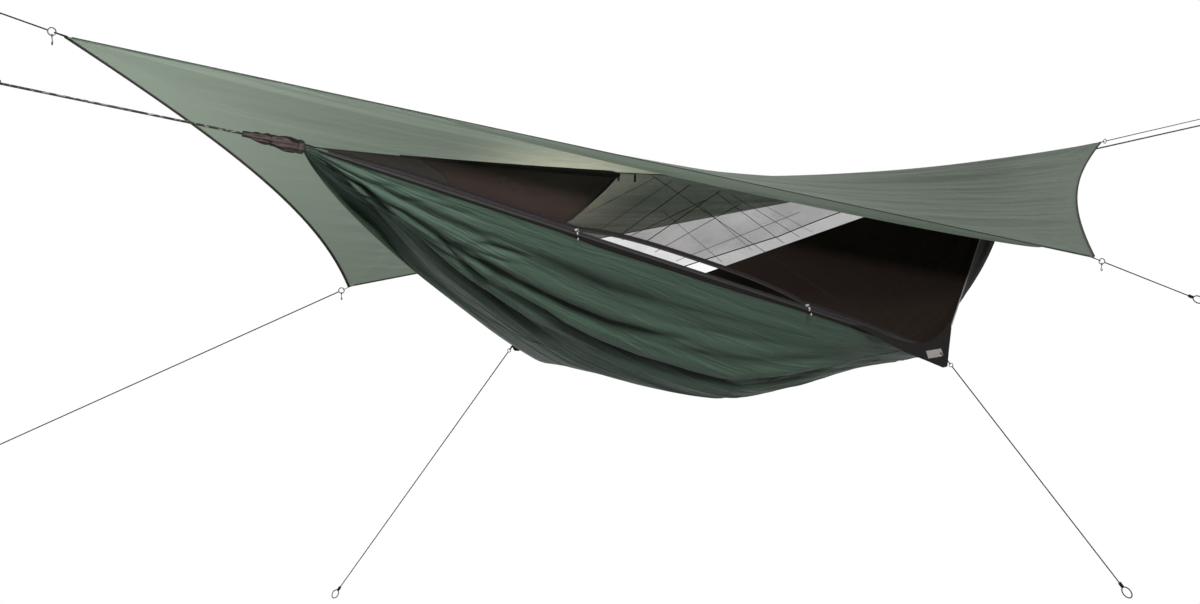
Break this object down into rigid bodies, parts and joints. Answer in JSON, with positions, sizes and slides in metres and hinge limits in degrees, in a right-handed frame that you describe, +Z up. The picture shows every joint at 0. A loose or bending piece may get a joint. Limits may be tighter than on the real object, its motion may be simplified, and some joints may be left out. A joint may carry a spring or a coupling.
{
  "type": "hammock tent",
  "caption": "Hammock tent: a gathered-end camping hammock with a zipped insect net over it and a slanted rain tarp, hung between two ropes and staked out with guylines.",
  "frame": {"origin": "the eye of the head suspension rope, where the tent hangs", "axes": "+X along the ridge from the head rope to the foot rope, +Z up, -Y the side with the zip"},
  "size_m": [5.0944, 2.4106, 1.8839],
  "materials": {
    "hammock_nylon": "fine ripstop nylon, soft sheen",
    "tarp_fabric": "matt coated nylon",
    "insect_net": "see-through knitted mesh",
    "dark_net": "see-through knitted mesh, darker",
    "sleeve_wrap": "wrinkled cloth",
    "piping": "corded cloth",
    "tarp_binding": "woven tape",
    "black_webbing": "woven webbing",
    "ridge_cord": "braided",
    "suspension_rope": "braided, with pale flecks",
    "guyline": "braided",
    "ring_steel": "satin",
    "coated_wire": "satin",
    "zip_tape": "woven tape with a nylon coil",
    "zip_metal": "satin",
    "zip_pull": "braided cord"
  },
  "bodies": {
    "tent": {"gather_sleeve_head": "sleeve_wrap", "gather_sleeve_foot": "sleeve_wrap", "hammock_body": "hammock_nylon", "net_head_panel": "insect_net", "net_dark_panel": "dark_net", "net_zip_panel": "insect_net", "net_foot_panel": "insect_net", "net_far_head_panel": "insect_net", "net_far_panel": "insect_net", "ridge_cord": "ridge_cord", "ridge_loop_1": "black_webbing", "ridge_loop_2": "black_webbing", "rim_piping_near": "piping", "rim_piping_far": "piping", "suspension_rope_head": "suspension_rope", "suspension_rope_foot": "suspension_rope", "rope_eye_head": "suspension_rope", "rope_eye_foot": "suspension_rope", "tarp_canopy": "tarp_fabric", "tarp_binding_head": "tarp_binding", "tarp_binding_foot": "tarp_binding", "tarp_webbing_head": "black_webbing", "tarp_webbing_foot": "black_webbing", "tarp_webbing_near": "black_webbing", "tarp_webbing_far": "black_webbing", "tarp_ring_head": "ring_steel", "tarp_ring_foot": "ring_steel", "tarp_ring_near": "ring_steel", "tarp_ring_far": "ring_steel", "tarp_guyline_head": "guyline", "tarp_guyline_foot": "guyline", "tarp_guyline_near": "guyline", "tarp_guyline_far": "guyline", "tarp_eye_head": "guyline", "tarp_eye_foot": "guyline", "tarp_eye_near": "guyline", "tarp_eye_far": "guyline", "tie_out_webbing_near": "black_webbing", "tie_out_webbing_far": "black_webbing", "tie_out_ring_near": "ring_steel", "tie_out_ring_far": "ring_steel", "peg_line_near": "guyline", "peg_line_far": "guyline", "peg_eye_near": "guyline", "peg_eye_far": "guyline", "zip_tape_body": "zip_tape", "zip_tape_net": "zip_tape"},
    "slider_head": {"zip_slider_head": "zip_metal"},
    "slider_foot": {"zip_slider_foot": "zip_metal"},
    "pull_head": {"zip_pull_head": "zip_pull"},
    "pull_foot": {"zip_pull_foot": "zip_pull"},
    "hook_head": {"tarp_hook_head": "coated_wire"},
    "hook_near": {"tarp_hook_near": "coated_wire"},
    "hook_far": {"tarp_hook_far": "coated_wire"}
  },
  "joints": [
    {"name": "slider_head_run", "type": "slide", "parent": "tent", "child": "slider_head", "axis": [0.9158, -0.2663, -0.3006], "range_m": [-0.46, 0.33]},
    {"name": "slider_foot_run", "type": "slide", "parent": "tent", "child": "slider_foot", "axis": [0.9158, -0.2663, -0.3006], "range_m": [-0.33, 0.17]},
    {"name": "pull_head_hinge", "type": "hinge", "parent": "slider_head", "child": "pull_head", "pos_m": [1.47176, -0.21538, -0.34235], "axis": [-0.9158, 0.2663, 0.3006], "range_deg": [0, 120]},
    {"name": "pull_foot_hinge", "type": "hinge", "parent": "slider_foot", "child": "pull_foot", "pos_m": [2.1617, -0.41599, -0.56883], "axis": [-0.9158, 0.2663, 0.3006], "range_deg": [0, 120]},
    {"name": "hook_head_swing", "type": "hinge", "parent": "tent", "child": "hook_head", "pos_m": [0.15854, 0, 0.10986], "axis": [-1, 0, 0], "range_deg": [-60, 60]},
    {"name": "hook_near_swing", "type": "hinge", "parent": "tent", "child": "hook_near", "pos_m": [3.17602, -0.70774, -0.45913], "axis": [0.8187, -0.5743, 0], "range_deg": [-60, 60]},
    {"name": "hook_far_swing", "type": "hinge", "parent": "tent", "child": "hook_far", "pos_m": [1.14942, 0.70052, -0.55528], "axis": [-0.8171, 0.5765, 0], "range_deg": [-60, 60]}
  ]
}
